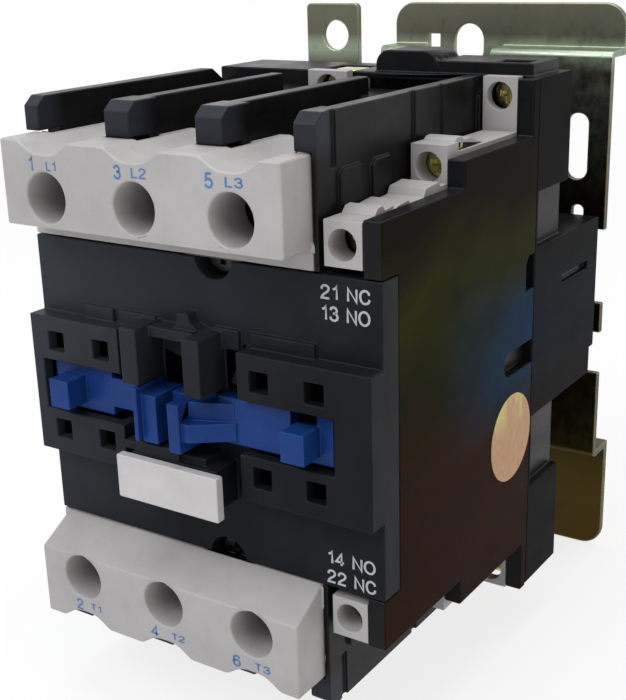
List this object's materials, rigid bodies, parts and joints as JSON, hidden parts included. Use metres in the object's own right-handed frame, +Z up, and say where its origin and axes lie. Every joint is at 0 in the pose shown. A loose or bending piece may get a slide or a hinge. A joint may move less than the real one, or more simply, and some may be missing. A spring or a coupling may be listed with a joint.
{
  "type": "magnetic motor starter",
  "caption": "Boxy black starter with stepped off-white terminal guards, a raised front band with a blue slider, and a zinc plate for panel or rail.",
  "frame": {"origin": "centre of the wall plane that the mounting plate's flanges rest on", "axes": "+Y into the wall, +Z up, +X to the right as seen from the front"},
  "size_m": [0.0785, 0.114, 0.1288],
  "materials": {
    "black_housing": "satin moulded black",
    "black_cover": "fine-textured charcoal",
    "beige_guard": "fine-textured warm off-white",
    "blue_slider": "satin royal blue",
    "zinc_yellow": "yellow-passivated zinc",
    "brass": "machined",
    "steel": "zinc plated",
    "spring_steel": "drawn wire",
    "copper": "bare copper",
    "silver": "silver contact alloy",
    "laminated_steel": "stacked laminations",
    "enamelled_copper": "enamelled winding wire",
    "bobbin_nylon": "natural nylon",
    "rubber": "moulded rubber",
    "label_white": "smooth ivory",
    "paper_seal": "peach paper"
  },
  "bodies": {
    "starter": {"mounting_plate": "zinc_yellow", "latch_spring": "spring_steel", "plate_screws": "steel", "base_housing": "black_housing", "fixed_core": "laminated_steel", "shading_rings": "copper", "core_cushion": "rubber", "coil_bobbin": "bobbin_nylon", "coil_winding": "enamelled_copper", "coil_terminals": "brass", "coil_terminal_screws": "brass", "contact_housing": "black_housing", "housing_screws": "steel", "line_terminals": "copper", "load_terminals": "copper", "line_clamps": "steel", "load_clamps": "steel", "line_screws": "steel", "load_screws": "steel", "fixed_contact_tips": "silver", "arc_plates": "steel", "aux_fixed_contacts": "brass", "aux_terminal_screws": "brass", "terminal_washers": "brass", "front_cover": "black_cover", "cover_screws": "steel", "power_terminal_guard_top": "beige_guard", "power_terminal_guard_bottom": "beige_guard", "aux_terminal_guard_top": "beige_guard", "aux_terminal_guard_bottom": "beige_guard", "coil_terminal_guard": "beige_guard", "label_plate": "label_white", "inspection_sticker": "paper_seal", "return_springs": "spring_steel"},
    "carriage": {"crossbar": "blue_slider", "contact_carrier": "black_housing", "armature": "laminated_steel", "armature_pin": "steel"},
    "contact_bridges": {"moving_contacts": "copper", "moving_contact_tips": "silver", "aux_moving_contacts": "brass", "contact_springs": "spring_steel"},
    "latch": {"rail_latch": "zinc_yellow"}
  },
  "joints": [
    {"name": "carriage_slide", "type": "slide", "parent": "starter", "child": "carriage", "axis": [0, 1, 0], "range_m": [0, 0.006], "stiffness_N_per_m": 1200, "springref_m": -0.006, "deforming": ["return_springs"]},
    {"name": "contact_take_up", "type": "slide", "parent": "carriage", "child": "contact_bridges", "axis": [0, 1, 0], "range_m": [-0.002, 0], "deforming": ["contact_springs"]},
    {"name": "rail_latch_slide", "type": "slide", "parent": "starter", "child": "latch", "axis": [0, 0, 1], "range_m": [0, 0.004], "stiffness_N_per_m": 1500, "springref_m": -0.004, "deforming": ["latch_spring"]}
  ],
  "couplings": [
    {"joint": "contact_take_up", "follows": "carriage_slide", "ratio": -0.33333}
  ]
}
